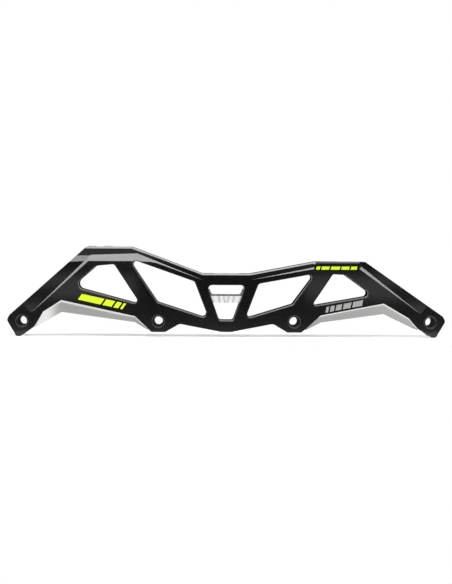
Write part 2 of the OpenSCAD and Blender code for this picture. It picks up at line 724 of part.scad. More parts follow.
module heel_deck_screws() { deck_screws(HEEL_SCREWS, H0.y, deck_t + ledge_h - screw_short); }
module toe_deck_screws() { deck_screws(TOE_SCREWS, T0.y, deck_t + ledge_h - screw_short); }
module bridge_screws() { deck_screws(BRIDGE_SCREWS, M0.y, bridge_t + bridge_ledge_h - screw_short); }
module heel_deck_dowels() { dowels(HEEL_DOWELS, heel_seat); }
module toe_deck_dowels() { dowels(TOE_DOWELS, toe_seat); }
module bridge_dowels() { dowels(BRIDGE_DOWELS, mid_seat); }
module right_rear_brace_screws() { side_screws(tongue_points(REAR_EDGE)); }
module right_front_brace_screws() { side_screws(tongue_points(FRONT_EDGE)); }
module left_rear_brace_screws() { left() side_screws(tongue_points(REAR_EDGE)); }
module left_front_brace_screws() { left() side_screws(tongue_points(FRONT_EDGE)); }
module right_crossbar_screws() { side_screws(CROSSBAR_POINTS); }
module left_crossbar_screws() { left() side_screws(CROSSBAR_POINTS); }

right_wall();
left_wall();
heel_deck();
toe_deck();
centre_bridge();
right_rear_brace();
right_front_brace();
left_rear_brace();
left_front_brace();
right_crossbar();
left_crossbar();
axle_bush(A1);  // axle_bush_1
axle_bush(A2);  // axle_bush_2
axle_bush(A3);  // axle_bush_3
axle_bush(A4);  // axle_bush_4
axle_insert(A1);  // axle_insert_1
axle_insert(A2);  // axle_insert_2
axle_insert(A3);  // axle_insert_3
axle_insert(A4);  // axle_insert_4
heel_deck_screws();
toe_deck_screws();
bridge_screws();
heel_deck_dowels();
toe_deck_dowels();
bridge_dowels();
right_rear_brace_screws();
right_front_brace_screws();
left_rear_brace_screws();
left_front_brace_screws();
right_crossbar_screws();
left_crossbar_screws();
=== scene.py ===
import math

import bmesh
import bpy
import numpy as np
from mathutils import Matrix, Vector


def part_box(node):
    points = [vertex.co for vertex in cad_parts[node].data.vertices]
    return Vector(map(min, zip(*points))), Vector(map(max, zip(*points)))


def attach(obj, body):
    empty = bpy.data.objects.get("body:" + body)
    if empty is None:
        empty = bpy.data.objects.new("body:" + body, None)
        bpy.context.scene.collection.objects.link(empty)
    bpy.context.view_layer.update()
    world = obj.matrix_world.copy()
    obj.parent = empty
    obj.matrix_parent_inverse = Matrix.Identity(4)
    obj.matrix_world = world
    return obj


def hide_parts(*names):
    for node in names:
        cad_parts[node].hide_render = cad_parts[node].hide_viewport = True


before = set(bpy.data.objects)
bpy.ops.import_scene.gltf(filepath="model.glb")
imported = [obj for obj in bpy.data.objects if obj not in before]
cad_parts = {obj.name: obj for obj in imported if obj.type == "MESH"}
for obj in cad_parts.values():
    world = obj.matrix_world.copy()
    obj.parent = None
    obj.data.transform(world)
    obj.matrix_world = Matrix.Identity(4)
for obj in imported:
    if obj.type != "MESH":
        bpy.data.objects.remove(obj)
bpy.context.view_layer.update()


# Side walls
# Two plates, milled from aluminium, stand on either side of the wheels with five windows each.
# They are blasted and dyed black in the anodising bath. The creases along the rails, the strip along the top
# edge and the lower rims of the windows, which face up, have a paler metal: a painted highlight in pale
# bands.

def linear(code):
    """A hex colour as linear red, green, blue and alpha: each sRGB channel goes through its power curve."""
    channels = np.array([int(code[i:i + 2], 16) for i in (1, 3, 5)]) / 255
    curved = np.where(channels <= 0.04045, channels / 12.92, ((channels + 0.055) / 1.055) ** 2.4)
    return (*curved, 1.0)


def add(tree, kind, settings=None, values=None, links=None):
    """One shader node: settings are its own properties, values its inputs, links what feeds its inputs."""
    node = tree.nodes.new(kind)
    for key, value in (settings or {}).items():
        setattr(node, key, value)
    for key, value in (values or {}).items():
        node.inputs[key].default_value = value
    for key, output in (links or {}).items():
        tree.links.new(output, node.inputs[key])
    return node


def new_material(name):
    """An empty node material, its tree, and the place on the piece that its patterns read."""
    material = bpy.data.materials.new(name)
    material.use_nodes = True
    tree = material.node_tree
    tree.nodes.clear()
    return material, tree, add(tree, "ShaderNodeTexCoord").outputs["Object"]


def finish_material(material, shader):
    """Joins a shader to the material's output."""
    add(material.node_tree, "ShaderNodeOutputMaterial", links={"Surface": shader.outputs["BSDF"]})
    return material


def per_mm(size_mm):
    """A noise scale, in cells to the metre, for a pattern whose features are this many millimetres wide."""
    return 1000 / size_mm


def black_anodised(name, base, roughness, index):
    """Dyed anodised aluminium. The blasted grain is 0.2 mm, drawn at 0.7 mm so that it shows, and a slow
    wave of 45 mm from the milling bends the reflections a little. Patches of 9 mm are more or less dull."""
    material, tree, place = new_material(name)
    grain = add(tree, "ShaderNodeTexNoise", values={"Scale": per_mm(0.7), "Detail": 2},
                links={"Vector": place})
    patch = add(tree, "ShaderNodeTexNoise", values={"Scale": per_mm(9), "Detail": 3},
                links={"Vector": place})
    wave = add(tree, "ShaderNodeTexNoise", values={"Scale": per_mm(45), "Detail": 0},
               links={"Vector": place})
    spread = 0.05
    rough = add(tree, "ShaderNodeMapRange",
                values={"To Min": roughness - spread, "To Max": roughness + spread},
                links={"Value": patch.outputs["Fac"]})
    slow = add(tree, "ShaderNodeBump", values={"Strength": 0.04, "Distance": 0.002},
               links={"Height": wave.outputs["Fac"]})
    fine = add(tree, "ShaderNodeBump", values={"Strength": 0.12, "Distance": 0.00004},
               links={"Height": grain.outputs["Fac"], "Normal": slow.outputs["Normal"]})
    shader = add(tree, "ShaderNodeBsdfPrincipled",
                 values={"Base Color": linear(base), "IOR": index, "Coat Weight": 0.6,
                         "Coat Roughness": 0.05, "Coat IOR": 1.5},
                 links={"Roughness": rough.outputs["Result"], "Normal": fine.outputs["Normal"]})
    return finish_material(material, shader)


def painted_highlight_metal(name, base):
    """A paler metal laid on faces of the black wall as a painted highlight, with fine cutter lines along the
    rail,
    20 mm long and 0.3 mm apart, drawn 0.8 mm apart so that they show."""
    material, tree, place = new_material(name)
    gap_mm = 0.8
    length_mm = 20
    along = add(tree, "ShaderNodeMapping", values={"Scale": (gap_mm / length_mm, 1, 1)},
                links={"Vector": place})
    lines = add(tree, "ShaderNodeTexNoise", values={"Scale": per_mm(gap_mm), "Detail": 2},
                links={"Vector": along.outputs["Vector"]})
    rough = add(tree, "ShaderNodeMapRange", values={"To Min": 0.3, "To Max": 0.42},
                links={"Value": lines.outputs["Fac"]})
    bump = add(tree, "ShaderNodeBump", values={"Strength": 0.1, "Distance": 0.00003},
               links={"Height": lines.outputs["Fac"]})
    shader = add(tree, "ShaderNodeBsdfPrincipled",
                 values={"Base Color": linear(base), "Metallic": 1.0},
                 links={"Roughness": rough.outputs["Result"], "Normal": bump.outputs["Normal"]})
    return finish_material(material, shader)


def new_object(name, data):
    """An object with this data, linked to the scene."""
    thing = bpy.data.objects.new(name, data)
    bpy.context.scene.collection.objects.link(thing)
    return thing


# Points closer than this, in metres, are one, and faces that turn by less than this are one plane
MERGED_WITHIN = 1e-6
PLANE_WITHIN = math.radians(0.5)
# Edges that turn by more than the first are shaded as edges, and those by more than the second are broken
SHADED_SHARP = math.radians(25)
BROKEN_SHARP = math.radians(40)
BEVEL_STEPS = 2
# The slot that gives a bevel the finish of the faces beside it
FACES_BESIDE = -1


def edged_copy(node, edge, edge_slot=FACES_BESIDE):
    """A copy of a node with its loose triangles merged, its flat faces joined and its sharp edges broken
    by a narrow bevel, as a file or a tumbler breaks them. The bevel takes the finish in edge_slot. The copy
    stands for the node."""
    shape = bmesh.new()
    shape.from_mesh(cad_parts[node].data)
    bmesh.ops.remove_doubles(shape, verts=shape.verts, dist=MERGED_WITHIN)
    bmesh.ops.dissolve_limit(shape, angle_limit=PLANE_WITHIN, verts=shape.verts, edges=shape.edges)
    mesh = bpy.data.meshes.new(node + "_edged")
    shape.to_mesh(mesh)
    shape.free()
    mesh.shade_smooth()
    mesh.set_sharp_from_angle(angle=SHADED_SHARP)
    piece = new_object(node + "_edged", mesh)
    bevel = piece.modifiers.new("broken edges", "BEVEL")
    bevel.width = edge
    bevel.segments = BEVEL_STEPS
    bevel.limit_method = "ANGLE"
    bevel.angle_limit = BROKEN_SHARP
    bevel.harden_normals = True
    bevel.material = edge_slot
    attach(piece, "root")
    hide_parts(node)
    return piece


def coat(piece, *materials):
    """Puts materials in a piece's slots, in order. A face has the first unless it is given another."""
    piece.data.materials.clear()
    for material in materials:
        piece.data.materials.append(material)
    return piece


def face_rows(piece, fact):
    """The normals or the centres of a piece's faces, as one row of x, y and z for each face."""
    rows = np.empty(len(piece.data.polygons) * 3, np.float32)
    piece.data.polygons.foreach_get(fact, rows)
    return rows.reshape(-1, 3)


def finish_faces(piece, choices):
    """Gives faces their finish. Choices map a slot to a mask of its faces, the first mask that holds counts,
    and the faces of none have the first slot."""
    slots = np.select(list(choices.values()), list(choices), default=0)
    piece.data.polygons.foreach_set("material_index", slots.astype(np.int32))


WALL_BLACK = black_anodised("satin black anodised aluminium", "#040404", roughness=0.26, index=1.36)
# Painted highlight: the up-facing facets, the top strip and the window rims get a paler metal in place of
# the black
WALL_FACET_HIGHLIGHT = painted_highlight_metal("painted highlight on wall facets", "#787878")
WALL_RIM_HIGHLIGHT = painted_highlight_metal("painted highlight on window rims", "#5c5c5c")
FACET_HIGHLIGHT_SLOT = 1
RIM_HIGHLIGHT_SLOT = 2
WALL_EDGE = 0.00015
# How far the normal of a face with painted highlight points outwards and up. A rim is steeper than a facet.
STEEPEST_HIGHLIGHT = 0.6
STEEPEST_FACET = 0.76
FLATTEST_HIGHLIGHT = 0.975
LEAST_RISE = 0.2
# The strip along the top edge lies above this height and behind the toe's pad
LOWEST_TOP_STRIP = 0.049
TOE_PAD_START = 0.0729
for side, outwards in (("right", -1), ("left", 1)):
    wall = coat(edged_copy(side + "_wall", WALL_EDGE), WALL_BLACK, WALL_FACET_HIGHLIGHT, WALL_RIM_HIGHLIGHT)
    normals = face_rows(wall, "normal")
    place, _, height = face_rows(wall, "center").T
    out = normals[:, 1] * outwards
    # Faces tilted outwards and up get the painted highlight, the window rims in a darker tone than the
    # facets
    tilted = (out > STEEPEST_HIGHLIGHT) & (out < FLATTEST_HIGHLIGHT) & (normals[:, 2] > LEAST_RISE)
    top_strip = (height > LOWEST_TOP_STRIP) & (place < TOE_PAD_START)
    facet_highlight = tilted & ((out > STEEPEST_FACET) | top_strip)
    rim_highlight = tilted & (out < STEEPEST_FACET) & (height < LOWEST_TOP_STRIP)
    finish_faces(wall, {RIM_HIGHLIGHT_SLOT: rim_highlight, FACET_HIGHLIGHT_SLOT: facet_highlight})
    wall.data.polygons.foreach_set("use_smooth", np.abs(out) < STEEPEST_FACET)


# Decks and bridge
# Solid blocks that hold the walls apart and sit on ledges inside them. The boot bolts to the two decks.
# They are milled from the same aluminium, blasted and clear anodised to a dull silver.

def blasted_aluminium(name, base):
    """Bead blasted, clear anodised aluminium: a soft, even grey with a grain of 0.25 mm, drawn at 0.6 mm
    so that it shows, and clouds of 12 mm that are more or less dull."""
    material, tree, place = new_material(name)
    grain = add(tree, "ShaderNodeTexNoise", values={"Scale": per_mm(0.6), "Detail": 2},
                links={"Vector": place})
    cloud = add(tree, "ShaderNodeTexNoise", values={"Scale": per_mm(12), "Detail": 2},
                links={"Vector": place})
    rough = add(tree, "ShaderNodeMapRange", values={"To Min": 0.42, "To Max": 0.54},
                links={"Value": cloud.outputs["Fac"]})
    bump = add(tree, "ShaderNodeBump", values={"Strength": 0.2, "Distance": 0.00004},
               links={"Height": grain.outputs["Fac"]})
    shader = add(tree, "ShaderNodeBsdfPrincipled",
                 values={"Base Color": linear(base), "Metallic": 1.0},
                 links={"Roughness": rough.outputs["Result"], "Normal": bump.outputs["Normal"]})
    return finish_material(material, shader)


DECK_SILVER = blasted_aluminium("blasted clear anodised aluminium", "#aaaaaa")
DECK_EDGE = 0.00015
# A face is level, and shaded flat, if its normal points up or down by more than this
LEVEL = 0.999
for node in ("heel_deck", "toe_deck", "centre_bridge"):
    deck = coat(edged_copy(node, DECK_EDGE), DECK_SILVER)
    level = np.abs(face_rows(deck, "normal")[:, 2]) > LEVEL
    deck.data.polygons.foreach_set("use_smooth", ~level)


# Braces
# Bare aluminium strips set into the inner faces of the walls. Each shows as a bright bevelled lip
# under the black edge, ground along its length, and is held by two small screws.

# Places, in metres, beyond the frame's side and behind its rear end
OFF_THE_SIDE = 1.0
OFF_THE_REAR = -1.0
# A Mix node's sockets for its two colours and for the mixed one
FIRST_COLOUR = 6
SECOND_COLOUR = 7
MIXED_COLOUR = 2


def ground_metal(name, dark, pale, smooth, dull, shoulder=OFF_THE_SIDE, foot=OFF_THE_REAR,
                 highlight_colour="#ffffff"):
    """Bare metal with grinding lines along the frame: lines 0.15 mm apart and 30 mm long, drawn 0.5 mm apart
    so that they show, stretch the highlights crosswise. Darker and paler patches of 60 mm, a random tone,
    are shifted so that on the brace lips they also lie as a painted reflection. Further from the middle
    plane than shoulder and behind foot, both in metres, the metal is painted paler as a painted highlight."""
    material, tree, place = new_material(name)
    gap_mm = 0.5
    length_mm = 30
    patch_mm = 60
    # Shifts the patches so that on the brace lips they lie as a painted reflection
    reflection_shift = 0.05
    line_share = 0.25
    shoulder_blend = 0.0002
    foot_blend = 0.0065
    along = add(tree, "ShaderNodeMapping", values={"Scale": (gap_mm / length_mm, 1, 1)},
                links={"Vector": place})
    lines = add(tree, "ShaderNodeTexNoise", values={"Scale": per_mm(gap_mm), "Detail": 3},
                links={"Vector": along.outputs["Vector"]})
    shifted = add(tree, "ShaderNodeMapping", values={"Location": (reflection_shift, 0, 0)},
                  links={"Vector": place})
    patch = add(tree, "ShaderNodeTexNoise", values={"Scale": per_mm(patch_mm), "Detail": 1},
                links={"Vector": shifted.outputs["Vector"]})
    faint = add(tree, "ShaderNodeMath", {"operation": "MULTIPLY_ADD"}, {1: line_share, 2: -line_share / 2},
                {0: lines.outputs["Fac"]})
    both = add(tree, "ShaderNodeMath", {"operation": "ADD"},
               links={0: faint.outputs["Value"], 1: patch.outputs["Fac"]})
    spread = add(tree, "ShaderNodeMapRange", values={"From Min": 0.35, "From Max": 0.65},
                 links={"Value": both.outputs["Value"]})
    tone = add(tree, "ShaderNodeMix", {"data_type": "RGBA"},
               {FIRST_COLOUR: linear(dark), SECOND_COLOUR: linear(pale)}, {0: spread.outputs["Result"]})
    parts = add(tree, "ShaderNodeSeparateXYZ", links={"Vector": place})
    out = add(tree, "ShaderNodeMath", {"operation": "ABSOLUTE"}, links={0: parts.outputs["Y"]})
    band = add(tree, "ShaderNodeMapRange", {"interpolation_type": "SMOOTHSTEP"},
               {"From Min": shoulder - shoulder_blend, "From Max": shoulder + shoulder_blend},
               {"Value": out.outputs["Value"]})
    rear = add(tree, "ShaderNodeMapRange", {"interpolation_type": "SMOOTHSTEP"},
               {"From Min": foot - foot_blend, "From Max": foot + foot_blend, "To Min": 1.0, "To Max": 0.0},
               {"Value": parts.outputs["X"]})
    bright = add(tree, "ShaderNodeMath", {"operation": "MAXIMUM"},
                 links={0: band.outputs["Result"], 1: rear.outputs["Result"]})
    colour = add(tree, "ShaderNodeMix", {"data_type": "RGBA"}, {SECOND_COLOUR: linear(highlight_colour)},
                 {0: bright.outputs["Value"], FIRST_COLOUR: tone.outputs[MIXED_COLOUR]})
    rough = add(tree, "ShaderNodeMapRange", values={"To Min": smooth, "To Max": dull},
                links={"Value": lines.outputs["Fac"]})
    bump = add(tree, "ShaderNodeBump", values={"Strength": 0.15, "Distance": 0.00003},
               links={"Height": lines.outputs["Fac"]})
    shader = add(tree, "ShaderNodeBsdfPrincipled", values={"Metallic": 1.0},
                 links={"Base Color": colour.outputs[MIXED_COLOUR], "Roughness": rough.outputs["Result"],
                        "Normal": bump.outputs["Normal"]})
    return finish_material(material, shader)


# The largest area, in square metres, of one of the facets that make up a round hole
WIDEST_HOLE_FACET = 2e-6


def flatten(piece):
    """Shades the plane faces flat: all but the narrow facets that make up the screw holes."""
    areas = np.empty(len(piece.data.polygons), np.float32)
    piece.data.polygons.foreach_get("area", areas)
    piece.data.polygons.foreach_set("use_smooth", areas < WIDEST_HOLE_FACET)


# The lips are painted paler, a painted highlight, further out than LIP_SHOULDER and behind LIP_FOOT
LIP_SHOULDER = 0.01685
LIP_FOOT = -0.1415
BRACE_SILVER = ground_metal("ground bare aluminium with painted highlight", "#949493", "#9e9e9d", smooth=0.26, dull=0.4,
                            shoulder=LIP_SHOULDER, foot=LIP_FOOT, highlight_colour="#d2d2d1")
# The broken edges get a darker metal: painted shade for the dark line along the lips' lower edges
BRACE_EDGE_SHADE = ground_metal("painted shade on brace edges", "#5a5a5a", "#666666", smooth=0.4, dull=0.5)
EDGE_SHADE_SLOT = 1
BRACE_EDGE = 0.0004
for side in ("right", "left"):
    for end in ("rear", "front"):
        strip = edged_copy(f"{side}_{end}_brace", BRACE_EDGE, EDGE_SHADE_SLOT)
        brace = coat(strip, BRACE_SILVER, BRACE_EDGE_SHADE)
        flatten(brace)


# Crossbars
# A short bare bar behind each centre window. Its face leans in below an upright land and has four shallow
# flutes that draw together downwards. It is screwed to the wall from the wheel side.

CROSSBAR_SILVER = ground_metal("satin ground aluminium", "#e0e0e0", "#e8e8e8", smooth=0.36, dull=0.44)
# The flutes are painted darker than the face, a painted shade in the grooves; they are also duller
FLUTE_SHADE = ground_metal("milled aluminium flute, painted shade", "#cacaca", "#d2d2d2", smooth=0.42, dull=0.5)
LAND_SILVER = ground_metal("fine ground aluminium", "#e9e9e9", "#f1f1f1", smooth=0.14, dull=0.2)
FLUTE_SLOT = 1
LAND_SLOT = 2
CROSSBAR_EDGE = 0.0001
# How far a flute's normal turns along the frame and points outwards, and how far a land's points outwards
LEAST_FLUTE_TURN = 0.04
MOST_FLUTE_TURN = 0.8
LEAST_FLUTE_OUT = 0.5
LEAST_LAND_OUT = 0.99
for side in ("right", "left"):
    crossbar = coat(edged_copy(side + "_crossbar", CROSSBAR_EDGE), CROSSBAR_SILVER, FLUTE_SHADE, LAND_SILVER)
    turn, out, _ = np.abs(face_rows(crossbar, "normal")).T
    flute = (turn > LEAST_FLUTE_TURN) & (turn < MOST_FLUTE_TURN) & (out > LEAST_FLUTE_OUT)
    finish_faces(crossbar, {LAND_SLOT: out > LEAST_LAND_OUT, FLUTE_SLOT: flute})
    flatten(crossbar)


# Bushes
# Headed steel bushes pressed into the right wall, which the axles pass through. They are turned and
# blackened, and their broken edges have a paler turned steel: a painted highlight. The heads sit flush in
# the wall.

AXLES = (1, 2, 3, 4)
BUSH_BOXES = [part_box(f"axle_bush_{i}") for i in AXLES]
AXLE_HEIGHT = (BUSH_BOXES[0][0].z + BUSH_BOXES[0][1].z) / 2
AXLE_PLACES = [(low.x + high.x) / 2 for low, high in BUSH_BOXES]
AXLE_PITCH = AXLE_PLACES[1] - AXLE_PLACES[0]


def turned_steel(name, base):
    """Turned steel: rings 0.12 mm apart around each axle, drawn at 0.45 mm so that they show. The distance
    from the axle comes from the height and from the place along the frame, wrapped over one axle pitch."""
    material, tree, place = new_material(name)
    parts = add(tree, "ShaderNodeSeparateXYZ", links={"Vector": place})
    half = AXLE_PITCH / 2
    shifted = add(tree, "ShaderNodeMath", {"operation": "SUBTRACT"}, {1: AXLE_PLACES[2]},
                  {0: parts.outputs["X"]})
    local = add(tree, "ShaderNodeMath", {"operation": "WRAP"}, {1: half, 2: -half},
                {0: shifted.outputs["Value"]})
    rise = add(tree, "ShaderNodeMath", {"operation": "SUBTRACT"}, {1: AXLE_HEIGHT},
               {0: parts.outputs["Z"]})
    flat = add(tree, "ShaderNodeCombineXYZ",
               links={"X": local.outputs["Value"], "Y": rise.outputs["Value"]})
    radius = add(tree, "ShaderNodeVectorMath", {"operation": "LENGTH"}, links={0: flat.outputs["Vector"]})
    rings = add(tree, "ShaderNodeTexNoise", {"noise_dimensions": "1D"},
                {"Scale": per_mm(0.45), "Detail": 2}, {"W": radius.outputs["Value"]})
    rough = add(tree, "ShaderNodeMapRange", values={"To Min": 0.28, "To Max": 0.46},
                links={"Value": rings.outputs["Fac"]})
    bump = add(tree, "ShaderNodeBump", values={"Strength": 0.2, "Distance": 0.00004},
               links={"Height": rings.outputs["Fac"]})
    shader = add(tree, "ShaderNodeBsdfPrincipled",
                 values={"Base Color": linear(base), "Metallic": 1.0},
                 links={"Roughness": rough.outputs["Result"], "Normal": bump.outputs["Normal"]})
    return finish_material(material, shader)


def black_oxide(name, base):
    """A dry black oxide on turned steel: matt and without the metal's gleam, with a grain of 0.3 mm, drawn
    at 0.6 mm so that it shows."""
    material, tree, place = new_material(name)
    grain = add(tree, "ShaderNodeTexNoise", values={"Scale": per_mm(0.6), "Detail": 2},
                links={"Vector": place})
    rough = add(tree, "ShaderNodeMapRange", values={"To Min": 0.6, "To Max": 0.75},
                links={"Value": grain.outputs["Fac"]})
    shader = add(tree, "ShaderNodeBsdfPrincipled",
                 values={"Base Color": linear(base), "Specular IOR Level": 0.1},
                 links={"Roughness": rough.outputs["Result"]})
    return finish_material(material, shader)


BUSH_BLACK = black_oxide("black oxide on turned steel", "#0b0b0b")
BUSH_EDGE_HIGHLIGHT = turned_steel("turned steel, painted highlight on bush edges", "#505051")
BUSH_HIGHLIGHT_SLOT = 1
BUSH_EDGE = 0.0003
for i in AXLES:
    bush = coat(edged_copy(f"axle_bush_{i}", BUSH_EDGE, BUSH_HIGHLIGHT_SLOT), BUSH_BLACK, BUSH_EDGE_HIGHLIGHT)


# Inserts
# Flanged steel inserts in the left wall, which the axles screw into. Each is turned with a flange
# against the wheel side, tapped right through with a thread of 1.25 mm pitch, and blackened.

THREAD_PITCH = 0.00125
THREAD_CORE = 0.00335
THREAD_ROOT = 0.004
THREAD_STARTS = 0.0005
# The radius is at the root within 0.15 of a pitch from its middle, and at the core beyond 0.44
FLANK_TOP = 1.5
FLANK_SLOPE = 3.4
INSERT_RADIUS = 0.005
INSERT_EDGE = 0.0002
INSERT_SHARP = math.radians(30)
FLANGE_THICK = 0.0014
STEPS_AROUND = 72
STEPS_ALONG_BORE = 77


def loop_mesh(name, points):
    """A closed ring of a surface: points run around the axle in columns and around the section in rows, and
    each quad joins a point to the next in both directions, the last back to the first."""
    rows, columns = points.shape[:2]
    row, column = np.meshgrid(np.arange(rows), np.arange(columns), indexing="ij")
    below = (row + 1) % rows
    beside = (column + 1) % columns
    corners = [row * columns + column, below * columns + column, below * columns + beside,
               row * columns + beside]
    mesh = bpy.data.meshes.new(name)
    mesh.from_pydata(points.reshape(-1, 3), [], np.stack(corners, -1).reshape(-1, 4))
    return mesh


def threaded_insert(name, x, z, inner_y, flange_y, outer_y, flange_radius):
    """An insert around an axle. The section goes out along the tapped bore, over the outer face, back along
    the barrel and around the flange. In the bore the radius swings from core to root and back once in each
    pitch, and the swing moves on by one pitch in each turn, which is a screw thread."""
    angle = np.linspace(0, 2 * np.pi, STEPS_AROUND, endpoint=False)
    bore = np.linspace(inner_y + THREAD_STARTS, outer_y - THREAD_STARTS, STEPS_ALONG_BORE)
    phase = (bore[:, None] / THREAD_PITCH - angle[None, :] / (2 * np.pi)) % 1
    swing = np.clip(FLANK_TOP - np.abs(phase - 0.5) * FLANK_SLOPE, 0, 1)
    thread = THREAD_CORE + (THREAD_ROOT - THREAD_CORE) * swing
    mouth = THREAD_ROOT + INSERT_EDGE
    outline = np.array([
        (mouth, outer_y), (INSERT_RADIUS - INSERT_EDGE, outer_y), (INSERT_RADIUS, outer_y - INSERT_EDGE),
        (INSERT_RADIUS, flange_y), (flange_radius - INSERT_EDGE, flange_y),
        (flange_radius, flange_y - INSERT_EDGE), (flange_radius, inner_y + INSERT_EDGE),
        (flange_radius - INSERT_EDGE, inner_y), (mouth, inner_y),
    ])
    around = np.ones(STEPS_AROUND)
    radius = np.concatenate([thread, outline[:, :1] * around])
    depth = np.concatenate([bore[:, None] * around, outline[:, 1:] * around])
    points = np.stack([x + radius * np.cos(angle), depth, z + radius * np.sin(angle)], -1)
    mesh = loop_mesh(name, points)
    shape = bmesh.new()
    shape.from_mesh(mesh)
    bmesh.ops.recalc_face_normals(shape, faces=shape.faces)
    shape.to_mesh(mesh)
    shape.free()
    mesh.shade_smooth()
    mesh.set_sharp_from_angle(angle=INSERT_SHARP)
    return new_object(name, mesh)


INSERT_STEEL = turned_steel("blackened tapped steel", "#2c2c2d")
for i, x in zip(AXLES, AXLE_PLACES):
    low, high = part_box(f"axle_insert_{i}")
    flange = (high.x - low.x) / 2
    seat = low.y + FLANGE_THICK
    insert = threaded_insert(f"axle_insert_{i}_tapped", x, AXLE_HEIGHT, low.y, seat, high.y, flange)
    coat(insert, INSERT_STEEL)
    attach(insert, "root")
    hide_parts(f"axle_insert_{i}")


# Screws
# Countersunk screws with hexagon sockets hold the decks, bridge, braces and crossbars. They are hardened
# steel, blackened in oil, which leaves a dark grey with a slight gloss on the edges.

def blackened_steel(name, base):
    """Oil blackened steel: dark, half glossy, with spots of 1.5 mm where the oil dried unevenly."""
    material, tree, place = new_material(name)
    spots = add(tree, "ShaderNodeTexNoise", values={"Scale": per_mm(1.5), "Detail": 3},
                links={"Vector": place})
    rough = add(tree, "ShaderNodeMapRange", values={"To Min": 0.3, "To Max": 0.5},
                links={"Value": spots.outputs["Fac"]})
    shader = add(tree, "ShaderNodeBsdfPrincipled",
                 values={"Base Color": linear(base), "Metallic": 1.0},
                 links={"Roughness": rough.outputs["Result"]})
    return finish_material(material, shader)


SCREW_STEEL = blackened_steel("oil blackened steel", "#4a4b4e")
SCREW_EDGE = 0.0001
SIDE_PIECES = ("rear_brace", "front_brace", "crossbar")
SIDE_SCREWS = [f"{side}_{piece}_screws" for side in ("right", "left") for piece in SIDE_PIECES]
for node in ("heel_deck_screws", "toe_deck_screws", "bridge_screws", *SIDE_SCREWS):
    screws = coat(edged_copy(node, SCREW_EDGE), SCREW_STEEL)


# Dowels
# Ground steel pins, half in the ledge and half in the deck or bridge, which keep these from creeping.
# They lie hidden between the two.

DOWEL_STEEL = ground_metal("ground dowel steel", "#959596", "#a0a0a1", smooth=0.2, dull=0.3)
DOWEL_EDGE = 0.0002
for node in ("heel_deck_dowels", "toe_deck_dowels", "bridge_dowels"):
    pins = coat(edged_copy(node, DOWEL_EDGE), DOWEL_STEEL)


# Printed bars
# Plain slanted bars, screen printed on the outer face of the right wall in bright yellow and in silver
# ink. The ink stands a few hundredths of a millimetre proud of the anodising.

INK_HEIGHT = 0.00003
OUTER_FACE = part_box("right_wall")[0].y


def printed_ink(name, base, metallic, roughness):
    """Screen printed ink: flat colour with a faint mottle of 0.8 mm where the screen left more or less of
    it."""
    material, tree, place = new_material(name)
    mottle = add(tree, "ShaderNodeTexNoise", values={"Scale": per_mm(0.8), "Detail": 2},
                 links={"Vector": place})
    spread = 0.06
    rough = add(tree, "ShaderNodeMapRange",
                values={"To Min": roughness - spread, "To Max": roughness + spread},
                links={"Value": mottle.outputs["Fac"]})
    bump = add(tree, "ShaderNodeBump", values={"Strength": 0.1, "Distance": 0.00002},
               links={"Height": mottle.outputs["Fac"]})
    shader = add(tree, "ShaderNodeBsdfPrincipled",
                 values={"Base Color": linear(base), "Metallic": metallic},
                 links={"Roughness": rough.outputs["Result"], "Normal": bump.outputs["Normal"]})
    return finish_material(material, shader)


def printed_bars(name, centre, slope, lengths, gap, height, lean):
    """Bars side by side on the outer face, of these lengths, centred on a point and turned by a slope. Each
    is a parallelogram whose upper edge is shifted by lean, as thick as the ink. Its corners go round from
    the lower left one, four on the wall and then four on top of the ink."""
    lengths = np.array(lengths)
    starts = np.cumsum(lengths + gap) - lengths - gap
    starts = starts - (starts[-1] + lengths[-1]) / 2
    across = np.array([-0.5, -0.5, 0.5, 0.5]) * height
    end = np.array([0, 1, 1, 0])
    along = starts[:, None] + lengths[:, None] * end + lean * across / height
    up = np.broadcast_to(across, along.shape)
    x = centre[0] + along * math.cos(slope) - up * math.sin(slope)
    z = centre[1] + along * math.sin(slope) + up * math.cos(slope)
    layers = [np.stack([x, np.full_like(x, y), z], -1) for y in (OUTER_FACE, OUTER_FACE - INK_HEIGHT)]
    points = np.concatenate(layers, 1)
    corners_each = points.shape[1]
    box = np.array([(0, 3, 2, 1), (4, 5, 6, 7), (0, 1, 5, 4), (1, 2, 6, 5), (2, 3, 7, 6), (3, 0, 4, 7)])
    faces = (np.arange(len(lengths))[:, None, None] * corners_each + box).reshape(-1, 4)
    mesh = bpy.data.meshes.new(name)
    mesh.from_pydata(points.reshape(-1, 3), [], faces)
    piece = new_object(name, mesh)
    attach(piece, "root")
    return piece


YELLOW_INK = printed_ink("bright yellow screen ink", "#d0ea12", metallic=0.0, roughness=0.5)
SILVER_INK = printed_ink("silver screen ink", "#989898", metallic=0.0, roughness=0.45)
heel_bars = printed_bars("heel_bars", centre=(-0.1020, 0.0286), slope=math.radians(-12.2),
                         lengths=(0.019, 0.0075, 0.004, 0.002), gap=0.0016, height=0.0052, lean=0.0022)
toe_bars = printed_bars("toe_bars", centre=(0.0904, 0.0569), slope=0.0,
                        lengths=(0.003, 0.0065, 0.0075, 0.0065, 0.005), gap=0.0012, height=0.0026,
                        lean=0.0007)
rail_bars = printed_bars("rail_bars", centre=(0.0968, 0.0255), slope=math.radians(11),
                         lengths=(0.0022, 0.0034, 0.0048, 0.0064, 0.0082), gap=0.0014, height=0.0044,
                         lean=0.0018)
for bars, ink in ((heel_bars, YELLOW_INK), (toe_bars, YELLOW_INK), (rail_bars, SILVER_INK)):
    coat(bars, ink)


# Studio
# A pale table with a soft overhead box, and a dim room in front of it. The table ends close in front of
# the frame, so that upright black faces mirror the dim room, with three strips of light, and not the table.

